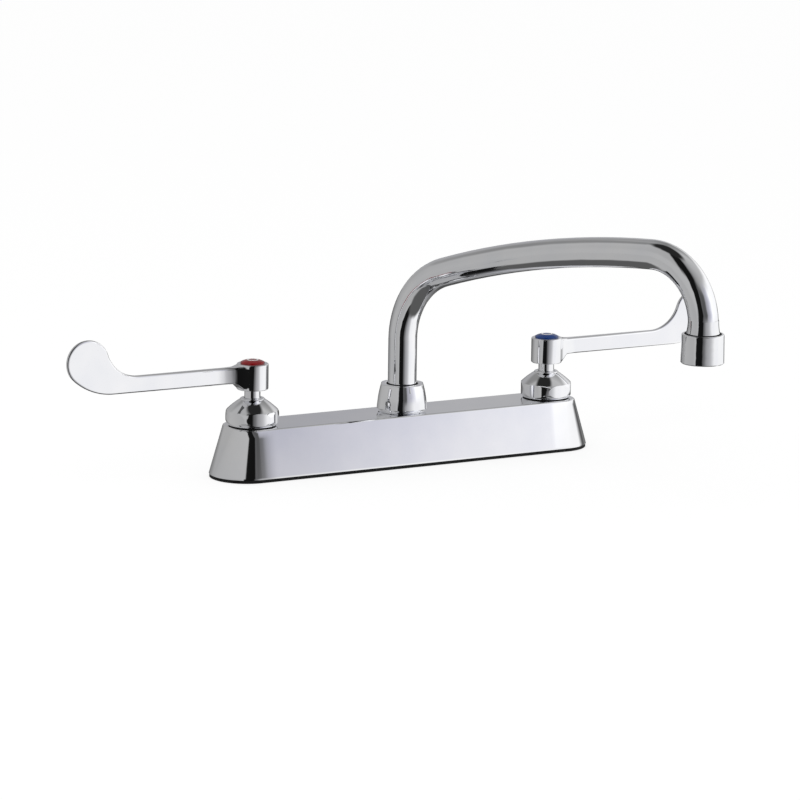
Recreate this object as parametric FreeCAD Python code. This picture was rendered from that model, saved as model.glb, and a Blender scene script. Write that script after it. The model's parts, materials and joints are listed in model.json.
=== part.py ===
"""Deck faucet: two quarter-turn valves with wrist blades and a swinging arc spout.

Millimetres. The origin is the middle of the deck face, under the gasket. +X runs
along the body from the hot valve to the cold one, -Y faces the user, +Z is up.
"""
import FreeCAD, Part
import math
import os
from FreeCAD import Vector

# Body
valve_centres = 203.2        # 8 in between the valve axes
foot_overhang = 25.9         # foot beyond each valve axis
foot_width = 44.4
top_overhang = 15.5          # top face beyond each valve axis
top_width = 33.4
top_corner = 11.4
body_top = 30.8              # height of the top face above the deck
body_edge_round = 1.2
wall = 3.4
ceiling = 4.2
gasket_thickness = 2.0
gasket_inset = 0.3
valve_boss_diameter = 30.0
centre_boss_diameter = 28.0
centre_boss_foot = 7.0       # height of the centre boss's closed end above the deck
waterway_height = 19.0
waterway_bore = 8.0
waterway_wall = 2.5

# Inlets, 1/2 in parallel female threads
inlet_bore = 19.2
inlet_depth = 10.0

# Valves
socket_bore = 24.0
seat_hole = 9.0
seat_thickness = 2.0
seal_thickness = 2.0
seal_diameter = 17.6
disc_diameter = 18.0
fixed_disc_thickness = 2.5
moving_disc_diameter = 16.0
moving_disc_thickness = 2.5
disc_port = 4.6
port_offset = 4.3
housing_diameter = 23.6
housing_flange_diameter = 26.4
housing_flange_thickness = 1.8
housing_neck_diameter = 20.0
housing_neck_height = 9.0    # above the body's top face
housing_nose_diameter = 12.6
housing_height = 14.2        # top of the nose above the body's top face
side_port = 6.0
stem_diameter = 8.0
stem_collar_diameter = 9.6
driver_diameter = 15.4
driver_thickness = 2.0
spline_diameter = 7.2
ring_section = 1.8
running_gap = 0.08           # radial, shaft in bore
face_gap = 0.05              # between flat faces that turn on each other
fit_gap = 0.1                # radial, pieces screwed or pressed together
clear_gap = 0.35             # between pieces that pass each other

# Bonnets
bonnet_skirt = 1.2           # foot's wall around the housing's flange
bonnet_bulge = 4.0           # widest diameter beyond the foot's
bonnet_flat_bulge = 1.9      # width over the flats beyond the foot's diameter
bonnet_flat_crown = 40.0     # radius of each buffed flat
bonnet_height = 16.0
bonnet_top_diameter = 14.8
bonnet_washer_thickness = 0.6
bonnet_washer_inset = 0.6
bonnet_shoulder = 8.8       # where the cone begins above the foot
bonnet_shoulder_bulge = 2.0  # shoulder's diameter beyond the foot's

# Levers
hub_diameter = 19.0
hub_height = 15.6
hub_lift = 21.8              # hub's underside above the body's top face
hub_round = 0.8
spline_depth = 9.9
screw_shelf = 1.8
screw_head_diameter = 8.0
screw_head_height = 2.4
screw_diameter = 4.0
screw_length = 12.0
recess_diameter = 10.6
button_diameter = 14.6
button_dome = 2.2
button_rim = 0.7
button_flat = 4.0            # flat middle of the dome
blade_thickness = 4.6
blade_height = 9.9
blade_rise = 4.3             # blade's lower edge above the hub's underside
blade_reach = 120.7          # tip from the valve axis
paddle_radius = 13.4
paddle_rise = 19.8           # paddle's centre above the blade's lower edge
sweep_radius = 37.0
throat_radius = 20.0
blade_round = 1.4
neck_taper = 37.0            # degrees between each side of the neck and the blade
neck_blend = 22.0            # radius that joins the neck's sides to the blade
neck_slope = 3.5             # beyond the hub's side, where it has come down to the blade's height

# Spout
spout_angle = -71.0          # from +X, towards the user, at rest
tube_diameter = 17.4
tube_wall = 1.3
riser_top = 74.8             # above the deck, where the first bend starts
first_bend_radius = 47.5
arc_start_slope = 18.3
arc_radius = 607.0
arc_end_slope = 3.1
last_bend_radius = 36.4
outlet_drop = 9.0            # straight tube after the last bend
collar_diameter = 25.6
collar_height = 1.7
collar_foot_round = 1.5
spigot_diameter = 23.6
spigot_height = 11.8
shank_diameter = 20.6
shank_bore = 12.6
shank_length = 19.4
tube_socket_depth = 7.0
shank_flange_diameter = 23.0
shank_flange_thickness = 1.5
washer_thickness = 0.8
nut_foot_flats = 28.8
nut_flats = 30.2             # over the flats at the widest point
nut_top_flats = 25.0
nut_corner = 8.0             # buffed round of the six corners
nut_edge_round = 0.6
nut_mouth_width = 1.2        # countersink round the tube
nut_height = 15.3
nut_widest = 0.9             # height of the widest point above the nut's foot
ring_spacing = 6.5

# Outlet
adaptor_diameter = 20.8
adaptor_depth = 8.0          # below the tube's end
adaptor_neck_diameter = 19.6
adaptor_tip = 0.1            # flare's wall at its top edge
adaptor_flare = 8.0          # height of the flare that shows above the housing
shell_draft = 0.5            # housing's top diameter is less than its widest by this
shell_length = 16.9
shell_overlap = 4.5          # height of the housing's top above the tube's end
shell_wall = 1.9
shell_round = 0.7
shell_mouth_width = 0.9      # countersink round the adaptor
shell_lip = 1.2
outlet_washer_thickness = 1.6

# Heights and radii that follow from the sizes above
shell_diameter = adaptor_diameter + 2 * (fit_gap + shell_wall)
shell_top_diameter = shell_diameter - shell_draft
valve_x = valve_centres / 2
foot_length = valve_centres + 2 * foot_overhang
top_length = valve_centres + 2 * top_overhang
cavity_top = body_top - ceiling
seat_top = inlet_depth + gasket_thickness + seat_thickness
housing_foot = seat_top + seal_thickness
disc_top = housing_foot + fixed_disc_thickness
moving_disc_foot = disc_top + face_gap
moving_disc_top = moving_disc_foot + moving_disc_thickness
chamber_top = moving_disc_top + driver_thickness + clear_gap
housing_top = body_top + housing_height
bonnet_foot = body_top + bonnet_washer_thickness
bonnet_foot_diameter = housing_flange_diameter + 2 * bonnet_skirt
bonnet_diameter = bonnet_foot_diameter + bonnet_bulge
bonnet_flats = bonnet_foot_diameter + bonnet_flat_bulge
bonnet_shoulder_diameter = bonnet_foot_diameter + bonnet_shoulder_bulge
bonnet_top = bonnet_foot + bonnet_height
hub_foot = body_top + hub_lift
hub_top = hub_foot + hub_height
recess_floor = hub_foot + spline_depth + screw_shelf
blade_foot = hub_foot + blade_rise
collar_top = body_top + collar_height
spigot_top = body_top + spigot_height
spigot_bore = shank_diameter + 2 * running_gap
flange_foot = spigot_top + face_gap
flange_top = flange_foot + shank_flange_thickness
washer_foot = flange_top + face_gap
nut_lip = washer_foot + washer_thickness
nut_top = collar_top + nut_height
shank_foot = flange_top - shank_length
tube_foot = flange_top - tube_socket_depth


def cylinder(diameter, low, high, x=0.0, y=0.0):
    return Part.makeCylinder(diameter / 2, high - low, Vector(x, y, low))


def ring(outer, inner, low, high, x=0.0, y=0.0):
    return cylinder(outer, low, high, x, y).cut(cylinder(inner, low - 1, high + 1, x, y))


def cross_hole(diameter, height, x_from, x_to):
    return Part.makeCylinder(diameter / 2, x_to - x_from, Vector(x_from, 0, height), Vector(1, 0, 0))


def rounded_outline(length, width, corner, z):
    """Closed wire of four lines and four corner arcs, starting at the right side."""
    a, b = length / 2, width / 2
    edges = []
    for quarter in range(4):
        sx = (1, -1, -1, 1)[quarter]
        sy = (1, 1, -1, -1)[quarter]
        centre = Vector(sx * (a - corner), sy * (b - corner), z)
        start = math.pi / 2 * quarter
        points = [
            centre + Vector(corner * math.cos(start + t), corner * math.sin(start + t), 0)
            for t in (0, math.pi / 4, math.pi / 2)
        ]
        edges.append(points)
    wire = []
    for index, points in enumerate(edges):
        wire.append(Part.Arc(*points).toShape())
        wire.append(Part.makeLine(points[2], edges[(index + 1) % 4][0]))
    return Part.Wire(wire)


def tapered_block(inset, low, high):
    """The body's outer form between two heights, drawn in all round by an inset."""
    span = body_top - gasket_thickness
    sections = []
    for z in (low, high):
        share = (z - gasket_thickness) / span
        length = foot_length + (top_length - foot_length) * share - 2 * inset
        width = foot_width + (top_width - foot_width) * share - 2 * inset
        foot_corner = foot_width / 2 - 0.4
        corner = foot_corner + (top_corner - foot_corner) * share - inset
        sections.append(rounded_outline(length, width, corner, z))
    return Part.makeLoft(sections, True, True)


def crowned_hexagon(flats, crown, low, high, turn=0.0, x=0.0):
    """Prism with six sides, each an arc of a large radius, as buffing leaves them."""
    offset = flats / 2 - crown
    side = (2 * offset + math.sqrt(4 * offset ** 2 - 16 / 3 * (offset ** 2 - crown ** 2))) * 3 / 8
    edges = []
    for k in range(6):
        facing = math.radians(turn + 30 + 60 * k)
        normal = Vector(math.cos(facing), math.sin(facing), 0)
        along = Vector(-normal.y, normal.x, 0) * side / math.sqrt(3)
        centre = Vector(x, 0, low)
        points = (centre + normal * side - along, centre + normal * flats / 2, centre + normal * side + along)
        edges.append(Part.Arc(*points).toShape())
    return Part.Face(Part.Wire(edges)).extrude(Vector(0, 0, high - low))


def turned(points, x=0.0, y=0.0):
    """Solid of revolution from a closed outline of (radius, height) points and arcs.

    A point is a pair. A triple of pairs is an arc's middle and end: ((r, z), (r, z)).
    """
    edges = []
    here = Vector(points[0][0], 0, points[0][1])
    first = here
    for item in points[1:]:
        if isinstance(item[0], tuple):
            middle = Vector(item[0][0], 0, item[0][1])
            end = Vector(item[1][0], 0, item[1][1])
            edges.append(Part.Arc(here, middle, end).toShape())
        else:
            end = Vector(item[0], 0, item[1])
            edges.append(Part.makeLine(here, end))
        here = end
    edges.append(Part.makeLine(here, first))
    face = Part.Face(Part.Wire(edges))
    solid = face.revolve(Vector(0, 0, 0), Vector(0, 0, 1), 360)
    solid.translate(Vector(x, y, 0))
    return solid


def seal_ring(groove_diameter, height, x=0.0):
    """O-ring that lies in a groove of the given floor diameter."""
    radius = (groove_diameter + ring_section) / 2
    return Part.makeTorus(radius, ring_section / 2, Vector(x, 0, height), Vector(0, 0, 1))


def groove(bore_diameter, height, x=0.0):
    """Cut for an O-ring that just meets a bore of the given diameter."""
    floor = groove_floor(bore_diameter)
    width = ring_section + 0.2
    return ring(bore_diameter + 2, floor, height - width / 2, height + width / 2, x)


def groove_floor(bore_diameter):
    return bore_diameter - 2 * ring_section - 2 * running_gap


def save(name, shape):
    shape = shape.removeSplitter() if shape.ShapeType != "Compound" else shape
    solids = shape.Solids
    if len(solids) == 1:
        shape = solids[0]
    shape.exportStep("parts/" + name + ".step")
    print(name, len(solids), "solid", shape.isValid(), round(shape.Volume, 1))


# Fixed pieces

def make_gasket():
    outline = rounded_outline(foot_length - 2 * gasket_inset, foot_width - 2 * gasket_inset,
                              foot_width / 2 - gasket_inset - 0.4, 0)
    plate = Part.Face(outline).extrude(Vector(0, 0, gasket_thickness))
    for x in (-valve_x, valve_x):
        plate = plate.cut(cylinder(inlet_bore + 4, -1, gasket_thickness + 1, x))
    return plate


def make_body():
    outer = tapered_block(0, gasket_thickness, body_top)
    top_edges = [e for e in outer.Edges if e.BoundBox.ZMin > body_top - 0.01]
    outer = outer.makeFillet(body_edge_round, top_edges)
    body = outer.cut(tapered_block(wall, gasket_thickness, cavity_top))
    body = body.fuse(cylinder(centre_boss_diameter, centre_boss_foot, body_top - 1))
    for x in (-valve_x, valve_x):
        body = body.fuse(cylinder(valve_boss_diameter, gasket_thickness, body_top - 1, x))
    pipe = waterway_bore + 2 * waterway_wall
    body = body.fuse(cross_hole(pipe, waterway_height, -valve_x, valve_x))
    body = body.fuse(cylinder(collar_diameter, body_top - 1, collar_top))
    body = body.fuse(cylinder(spigot_diameter, body_top - 1, spigot_top))
    body = body.fuse(collar_foot())
    body = body.cut(cylinder(spigot_bore, centre_boss_foot + wall, spigot_top + 1))
    for x in (-valve_x, valve_x):
        body = body.cut(cylinder(inlet_bore, gasket_thickness - 1, gasket_thickness + inlet_depth, x))
        body = body.cut(cylinder(seat_hole, gasket_thickness, body_top, x))
        body = body.cut(cylinder(socket_bore, seat_top, body_top + 1, x))
    return body.cut(cross_hole(waterway_bore, waterway_height, -valve_x, valve_x))


def collar_foot():
    """Cast fillet between the spout collar and the body's top face."""
    inner, z, round_off = collar_diameter / 2, body_top, collar_foot_round
    turn = round_off * (1 - math.sqrt(0.5))
    return turned([
        (inner - 1, z - 0.5),
        (inner + round_off, z - 0.5),
        (inner + round_off, z),
        ((inner + turn, z + turn), (inner, z + round_off)),
        (inner - 1, z + round_off),
    ])


def make_seat_seal(x):
    return ring(seal_diameter, seat_hole, seat_top, housing_foot, x)


def make_disc(diameter, low, thickness, x):
    """Ceramic disc with two ports on opposite sides."""
    disc = cylinder(diameter, low, low + thickness, x)
    for side in (-1, 1):
        disc = disc.cut(cylinder(disc_port, low - 1, low + thickness + 1, x, side * port_offset))
    return disc


def make_housing(x):
    """Cartridge housing: disc chamber below, stem guide above, flange on the body."""
    flange_top_z = body_top + housing_flange_thickness
    housing = cylinder(housing_diameter, housing_foot, body_top + 0.5, x)
    housing = housing.fuse(cylinder(housing_flange_diameter, body_top, flange_top_z, x))
    housing = housing.fuse(cylinder(housing_neck_diameter, body_top, body_top + housing_neck_height, x))
    housing = housing.fuse(cylinder(housing_nose_diameter, body_top, housing_top, x))
    housing = housing.cut(cylinder(disc_diameter + 2 * fit_gap, housing_foot - 1, chamber_top, x))
    housing = housing.cut(cylinder(stem_diameter + 2 * running_gap, chamber_top - 1, housing_top + 1, x))
    housing = housing.cut(cross_hole(side_port, waterway_height + 2, x - valve_boss_diameter / 2,
                                     x + valve_boss_diameter / 2))
    return housing.cut(groove(socket_bore, body_top - ring_section - 1.2, x))


def make_housing_ring(x):
    return seal_ring(groove_floor(socket_bore), body_top - ring_section - 1.2, x)


def make_bonnet_washer(x):
    inner = housing_flange_diameter + 2 * fit_gap
    return ring(bonnet_foot_diameter - bonnet_washer_inset, inner, body_top, bonnet_foot, x)


def make_bonnet(x, turn):
    """Domed nut: a turned bell whose waist is cut by six flats, with a cone above."""
    z = bonnet_foot
    foot = bonnet_foot_diameter / 2
    belly = bonnet_diameter / 2
    crown = bonnet_top_diameter / 2
    shoulder_radius = bonnet_shoulder_diameter / 2
    shoulder = z + bonnet_shoulder
    top = bonnet_top
    bell = turned([
        (0, z),
        (foot, z),
        ((belly, z + bonnet_shoulder / 2), (shoulder_radius, shoulder)),
        (((shoulder_radius + crown) / 2 + 0.2, (shoulder + top - 0.8) / 2 + 0.2), (crown, top - 0.8)),
        ((crown - 0.25, top - 0.2), (crown - 0.8, top)),
        (0, top),
    ], x)
    bell = bell.common(crowned_hexagon(bonnet_flats, bonnet_flat_crown, z - 1, top + 1, turn, x))
    flange_room = body_top + housing_flange_thickness + fit_gap
    bell = bell.cut(cylinder(housing_flange_diameter + 2 * fit_gap, z - 1, flange_room, x))
    for diameter, height in ((housing_neck_diameter, housing_neck_height),
                             (housing_nose_diameter, housing_height)):
        bell = bell.cut(cylinder(diameter + 2 * fit_gap, z, body_top + height + fit_gap, x))
    guide_room = stem_collar_diameter + 2 * clear_gap
    return bell.cut(cylinder(guide_room, z, top + 1, x))


def make_spout_nut():
    """Swivel nut: six barrelled flats with well buffed corners, drawn in round the tube."""
    z = collar_top
    widest = z + nut_widest
    shoulder = (widest + nut_top) / 2
    shoulder_flats = (nut_flats + nut_top_flats) / 2 + 0.9
    lower = Part.makeLoft([buffed_hexagon(nut_foot_flats, z), buffed_hexagon(nut_flats, widest)], True, True)
    upper = Part.makeLoft([
        buffed_hexagon(nut_flats, widest),
        buffed_hexagon(shoulder_flats, shoulder),
        buffed_hexagon(nut_top_flats, nut_top),
    ], True, False)
    nut = lower.fuse(upper).removeSplitter()
    rim = [e for e in nut.Edges if e.BoundBox.ZMin > nut_top - 0.01]
    nut = nut.makeFillet(nut_edge_round, rim)
    nut = nut.cut(cylinder(spigot_diameter + 2 * fit_gap, z - 1, nut_lip))
    nut = nut.cut(countersink(tube_diameter + 2 * clear_gap, nut_mouth_width, nut_top))
    return nut.cut(cylinder(tube_diameter + 2 * clear_gap, z, nut_top + 1))


def countersink(bore, width, top):
    """Cutter that widens a bore by the given width at its upper end."""
    radius, over = bore / 2, 1.0
    return Part.makeCone(radius, radius + width + over, width + over, Vector(0, 0, top - width))


def buffed_hexagon(flats, z):
    """Hexagon with round corners, one of them on +X."""
    apothem = flats / 2
    corner = nut_corner * flats / nut_flats
    half_flat = (apothem - corner) * math.tan(math.pi / 6)
    reach = (apothem - corner) / math.cos(math.pi / 6)
    edges = []
    for k in range(6):
        facing = math.pi / 3 * k + math.pi / 6
        normal = Vector(math.cos(facing), math.sin(facing), 0)
        along = Vector(-normal.y, normal.x, 0)
        middle = normal * apothem + Vector(0, 0, z)
        first, last = middle - along * half_flat, middle + along * half_flat
        bend = facing + math.pi / 6
        outward = Vector(math.cos(bend), math.sin(bend), 0)
        turned_on = facing + math.pi / 3
        next_normal = Vector(math.cos(turned_on), math.sin(turned_on), 0)
        next_along = Vector(-next_normal.y, next_normal.x, 0)
        after = next_normal * apothem - next_along * half_flat + Vector(0, 0, z)
        tip = outward * (reach + corner) + Vector(0, 0, z)
        edges.append(Part.makeLine(first, last))
        edges.append(Part.Arc(last, tip, after).toShape())
    return Part.Wire(edges)


def make_shank_washer():
    return ring(spigot_diameter, tube_diameter + 2 * clear_gap, washer_foot, nut_lip)


# Pieces that turn with each lever. They are drawn at the origin and then placed.

def make_stem(x):
    driver_foot = moving_disc_top
    stem = cylinder(driver_diameter, driver_foot, driver_foot + driver_thickness, x)
    stem = stem.fuse(cylinder(stem_diameter, driver_foot, housing_top + clear_gap + 0.5, x))
    stem = stem.fuse(cylinder(stem_collar_diameter, housing_top + clear_gap, hub_foot, x))
    stem = stem.fuse(cylinder(spline_diameter, hub_foot - 1, hub_foot + spline_depth - clear_gap, x))
    tapped = hub_foot + spline_depth + screw_shelf - screw_length - 1
    stem = stem.cut(cylinder(screw_diameter + 0.1, tapped, hub_top, x))
    return stem.cut(groove(stem_diameter + 2 * running_gap, stem_ring_height(), x))


def stem_ring_height():
    return body_top + housing_flange_thickness + 3


def make_stem_ring(x):
    return seal_ring(groove_floor(stem_diameter + 2 * running_gap), stem_ring_height(), x)


def make_blade():
    """Flat upright blade along +X: straight grip, swept heel, round paddle, throat."""
    z = blade_foot
    top = z + blade_height
    cx = blade_reach - paddle_radius
    cz = z + paddle_rise
    heel = math.sqrt((sweep_radius - paddle_radius) ** 2 - (sweep_radius - paddle_rise) ** 2)
    throat_z = top + throat_radius
    throat = math.sqrt((throat_radius + paddle_radius) ** 2 - (throat_z - cz) ** 2)
    heel_centre = Vector(cx - heel, 0, z + sweep_radius)
    throat_centre = Vector(cx - throat, 0, throat_z)
    paddle = Vector(cx, 0, cz)
    out = (paddle - heel_centre).normalize()
    heel_end = heel_centre + out * sweep_radius
    to_throat = (throat_centre - paddle).normalize()
    throat_end = paddle + to_throat * paddle_radius

    def on_circle(centre, radius, first, last):
        middle = (first - centre).normalize() + (last - centre).normalize()
        return centre + middle.normalize() * radius

    start = Vector(0, 0, z)
    heel_start = Vector(heel_centre.x, 0, z)
    throat_start = Vector(throat_centre.x, 0, top)
    tip_side = paddle + Vector(1, 0, 0.6).normalize() * paddle_radius
    outline = Part.Wire([
        Part.makeLine(start, heel_start),
        Part.Arc(heel_start, on_circle(heel_centre, sweep_radius, heel_start, heel_end), heel_end).toShape(),
        Part.Arc(heel_end, tip_side, throat_end).toShape(),
        Part.Arc(throat_end, on_circle(throat_centre, throat_radius, throat_end, throat_start),
                 throat_start).toShape(),
        Part.makeLine(throat_start, Vector(0, 0, top)),
        Part.makeLine(Vector(0, 0, top), start),
    ])
    face = Part.Face(outline)
    plate = face.extrude(Vector(0, blade_thickness, 0))
    plate.translate(Vector(0, -blade_thickness / 2, 0))
    long_edges = [e for e in plate.Edges
                  if e.BoundBox.YLength < 0.01 and e.BoundBox.XMax > 1]
    return plate.makeFillet(blade_round, long_edges)


def make_neck():
    """Wedge from the hub to the blade: its sides leave the hub on its tangents."""
    taper, radius, half = math.radians(neck_taper), hub_diameter / 2, blade_thickness / 2
    leave_x, leave_y = radius * math.sin(taper), radius * math.cos(taper)
    corner_x = leave_x + (leave_y - half) / math.tan(taper)
    blend_end = corner_x + neck_blend * math.tan(taper / 2)
    blend_start = blend_end - neck_blend * math.sin(taper)
    slope_start, slope_end = radius - hub_round, radius + neck_slope

    def section(x):
        share = min(1, max(0, (x - slope_start) / (slope_end - slope_start)))
        low = hub_foot + hub_round + (blade_rise - hub_round) * share
        high = hub_top - hub_round + (blade_foot + blade_height - hub_top + hub_round) * share
        half_width = leave_y - (x - leave_x) * math.tan(taper)
        if x > blend_start:
            half_width = half + neck_blend - math.sqrt(neck_blend ** 2 - (blend_end - x) ** 2)
        return rounded_section(x, half_width, low, high)

    places = [blend_end - neck_blend * math.sin(taper * k / 10) for k in range(11)]
    places += [leave_x + 0.1, slope_start, slope_end]
    return Part.makeLoft([section(x) for x in sorted(places)], True, True)


def rounded_section(x, half_width, low, high):
    """Upright rectangle across +X with the blade's corner rounds."""
    turn = blade_round * (1 - math.sqrt(0.5))
    arcs = []
    for sy, z, sz in ((1, high, -1), (-1, high, -1), (-1, low, 1), (1, low, 1)):
        side = Vector(x, sy * half_width, z + sz * blade_round)
        bend = Vector(x, sy * (half_width - turn), z + sz * turn)
        end = Vector(x, sy * (half_width - blade_round), z)
        arcs.append((end, bend, side) if sy * sz > 0 else (side, bend, end))
    edges = []
    for index, points in enumerate(arcs):
        edges.append(Part.Arc(*points).toShape())
        edges.append(Part.makeLine(points[2], arcs[(index + 1) % 4][0]))
    return Part.Wire(edges)


def make_lever(x, heading):
    hub = cylinder(hub_diameter, hub_foot, hub_top)
    hub = hub.makeFillet(hub_round, [e for e in hub.Edges if e.BoundBox.ZLength < 0.01])
    lever = hub.fuse(make_blade()).fuse(make_neck())
    lever = lever.cut(cylinder(spline_diameter + 0.1, hub_foot - 1, hub_foot + spline_depth))
    lever = lever.cut(cylinder(screw_diameter + 0.6, hub_foot, hub_top))
    lever = lever.cut(cylinder(recess_diameter, recess_floor, hub_top + 1))
    lever.rotate(Vector(0, 0, 0), Vector(0, 0, 1), heading)
    lever.translate(Vector(x, 0, 0))
    return lever


def make_lever_screw(x):
    screw = cylinder(screw_diameter, recess_floor + screw_head_height - screw_length - 1,
                     recess_floor + 0.5, x)
    head = cylinder(screw_head_diameter, recess_floor, recess_floor + screw_head_height, x)
    head = head.makeFillet(0.6, [e for e in head.Edges
                                 if e.BoundBox.ZMin > recess_floor + screw_head_height - 0.01])
    return screw.fuse(head)


def make_button(x):
    rim = button_diameter / 2
    plug = recess_diameter / 2 - 0.05
    foot = recess_floor + screw_head_height + 0.1
    return turned([
        (0, foot),
        (plug, foot),
        (plug, hub_top),
        (rim, hub_top),
        (rim, hub_top + button_rim),
        ((rim * 0.66, hub_top + button_dome * 0.82), (button_flat / 2, hub_top + button_dome)),
        (0, hub_top + button_dome),
    ], x)


# Pieces that swing with the spout, drawn along +X and then turned to the rest angle

def spout_points():
    """Ends, middles and headings of the tube's centre line in the X-Z plane."""
    x, z, heading = 0.0, riser_top, math.pi / 2
    arcs = []
    for radius, end in ((first_bend_radius, math.radians(arc_start_slope)),
                        (arc_radius, math.radians(arc_end_slope)),
                        (last_bend_radius, -math.pi / 2)):
        centre_x = x + radius * math.sin(heading)
        centre_z = z - radius * math.cos(heading)
        marks = []
        for angle in (heading, (heading + end) / 2, end):
            marks.append(Vector(centre_x - radius * math.sin(angle), 0,
                                centre_z + radius * math.cos(angle)))
        arcs.append(marks)
        x, z, heading = marks[2].x, marks[2].z, end
    return arcs


def outlet_x():
    return spout_points()[2][2].x


def tube_end():
    return spout_points()[2][2].z - outlet_drop


def tube_solid(diameter, extra):
    arcs = spout_points()
    low = Vector(0, 0, tube_foot - extra)
    end = Vector(outlet_x(), 0, tube_end() - extra)
    edges = [Part.makeLine(low, arcs[0][0])]
    edges += [Part.Arc(*marks).toShape() for marks in arcs]
    edges.append(Part.makeLine(arcs[2][2], end))
    profile = Part.Wire([Part.makeCircle(diameter / 2, low, Vector(0, 0, 1))])
    return Part.Wire(edges).makePipeShell([profile], True, True)


def make_spout_tube():
    tube = tube_solid(tube_diameter, 0).cut(tube_solid(tube_diameter - 2 * tube_wall, 1))
    length = tube.Volume / (math.pi * tube_wall * (tube_diameter - tube_wall))
    print("spout tube centre line", round(length, 1))
    return tube


def make_shank():
    """Brass end of the spout: turns in the body's spigot and holds two O-rings."""
    shank = cylinder(shank_diameter, shank_foot, flange_top)
    shank = shank.fuse(cylinder(shank_flange_diameter, flange_foot, flange_top))
    shank = shank.cut(cylinder(shank_bore, shank_foot - 1, flange_top))
    shank = shank.cut(cylinder(tube_diameter, tube_foot, flange_top + 1))
    for height in shank_ring_heights():
        shank = shank.cut(groove(spigot_bore, height))
    return shank


def shank_ring_heights():
    low = shank_foot + ring_section + 0.6
    return low, low + ring_spacing


def make_adaptor():
    """Flared collar on the tube's end; its lower part carries the outlet's thread."""
    foot = adaptor_foot()
    shoulder = shell_top() - shell_lip
    top = shell_top() + adaptor_flare
    neck = adaptor_neck_diameter / 2
    tip = tube_diameter / 2 + adaptor_tip
    adaptor = turned([
        (0, foot),
        (adaptor_diameter / 2, foot),
        (adaptor_diameter / 2, shoulder),
        (neck, shoulder),
        (neck, shell_top()),
        ((tip + (neck - tip) * 0.3, shell_top() + adaptor_flare * 0.42), (tip, top)),
        (0, top),
    ])
    adaptor = adaptor.cut(cylinder(tube_diameter - 2 * tube_wall, foot - 1, top))
    adaptor = adaptor.cut(cylinder(tube_diameter, tube_end(), top + 1))
    adaptor.translate(Vector(outlet_x(), 0, 0))
    return adaptor


def adaptor_foot():
    return tube_end() - adaptor_depth


def shell_top():
    return tube_end() + shell_overlap


def make_shell():
    """Outlet housing: closed in round the adaptor above, with a lip under the insert."""
    top = shell_top()
    foot = top - shell_length
    outer = shell_diameter / 2
    upper = shell_top_diameter / 2
    shell = turned([
        (0, foot),
        (outer - 0.5, foot),
        (outer, foot + 0.5),
        (upper, top - shell_round),
        ((upper - shell_round * 0.29, top - shell_round * 0.29), (upper - shell_round, top)),
        (0, top),
    ])
    shell = shell.cut(cylinder(adaptor_diameter + 2 * fit_gap, foot + shell_lip, top - shell_lip))
    shell = shell.cut(cylinder(adaptor_neck_diameter + 2 * fit_gap, foot + shell_lip, top + 1))
    shell = shell.cut(countersink(adaptor_neck_diameter + 2 * fit_gap, shell_mouth_width, top))
    shell = shell.cut(cylinder(adaptor_diameter - 2 * shell_wall, foot - 1, top - shell_lip))
    shell.translate(Vector(outlet_x(), 0, 0))
    return shell


def make_outlet_washer():
    top = adaptor_foot()
    inner = tube_diameter - 2 * tube_wall
    washer = ring(adaptor_diameter, inner, top - outlet_washer_thickness, top)
    washer.translate(Vector(outlet_x(), 0, 0))
    return washer


def make_insert():
    """Flow straightener: a cup with a flange, a mesh plate and a ring of passages."""
    low = shell_top() - shell_length + shell_lip
    top = adaptor_foot() - outlet_washer_thickness
    drum = adaptor_diameter - 2 * shell_wall - 0.3
    insert = cylinder(adaptor_diameter, low, top)
    insert = insert.fuse(cylinder(drum, low - shell_lip * 0.6, low + 0.5))
    for count, radius in ((6, 3.0), (12, 6.0)):
        for k in range(count):
            angle = 2 * math.pi * k / count
            hole = cylinder(2.0, low - 2, top + 1, radius * math.cos(angle), radius * math.sin(angle))
            insert = insert.cut(hole)
    insert.translate(Vector(outlet_x(), 0, 0))
    return insert


def build():
    os.makedirs("parts", exist_ok=True)
    save("base_gasket", make_gasket())
    save("faucet_body", make_body())
    save("spout_nut", make_spout_nut())
    save("shank_washer", make_shank_washer())
    for side, x, heading, turn in (("hot", -valve_x, 180, 49), ("cold", valve_x, 0, 3)):
        save(side + "_seat_seal", make_seat_seal(x))
        save(side + "_fixed_disc", make_disc(disc_diameter, housing_foot, fixed_disc_thickness, x))
        save(side + "_cartridge_housing", make_housing(x))
        save(side + "_cartridge_ring", make_housing_ring(x))
        save(side + "_bonnet_washer", make_bonnet_washer(x))
        save(side + "_bonnet", make_bonnet(x, turn))
        disc = make_disc(moving_disc_diameter, moving_disc_foot, moving_disc_thickness, x)
        disc.rotate(Vector(x, 0, 0), Vector(0, 0, 1), 90)
        save(side + "_moving_disc", disc)
        save(side + "_stem", make_stem(x))
        save(side + "_stem_ring", make_stem_ring(x))
        save(side + "_lever", make_lever(x, heading))
        save(side + "_lever_screw", make_lever_screw(x))
        save(side + "_index_button", make_button(x))
    lower, upper = shank_ring_heights()
    spout = {
        "spout_shank": make_shank(),
        "lower_shank_ring": seal_ring(groove_floor(spigot_bore), lower),
        "upper_shank_ring": seal_ring(groove_floor(spigot_bore), upper),
        "spout_tube": make_spout_tube(),
        "outlet_adaptor": make_adaptor(),
        "aerator_shell": make_shell(),
        "aerator_washer": make_outlet_washer(),
        "aerator_insert": make_insert(),
    }
    for name, shape in spout.items():
        shape.rotate(Vector(0, 0, 0), Vector(0, 0, 1), spout_angle)
        save(name, shape)
    print("reach", round(outlet_x(), 1), "outlet height", round(shell_top() - shell_length, 2))
    print("paddle top", round(blade_foot + paddle_rise + paddle_radius, 2))


build()
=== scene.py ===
import bpy
import bmesh
import json
import math
from mathutils import Matrix, Vector
from mathutils.bvhtree import BVHTree


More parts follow.
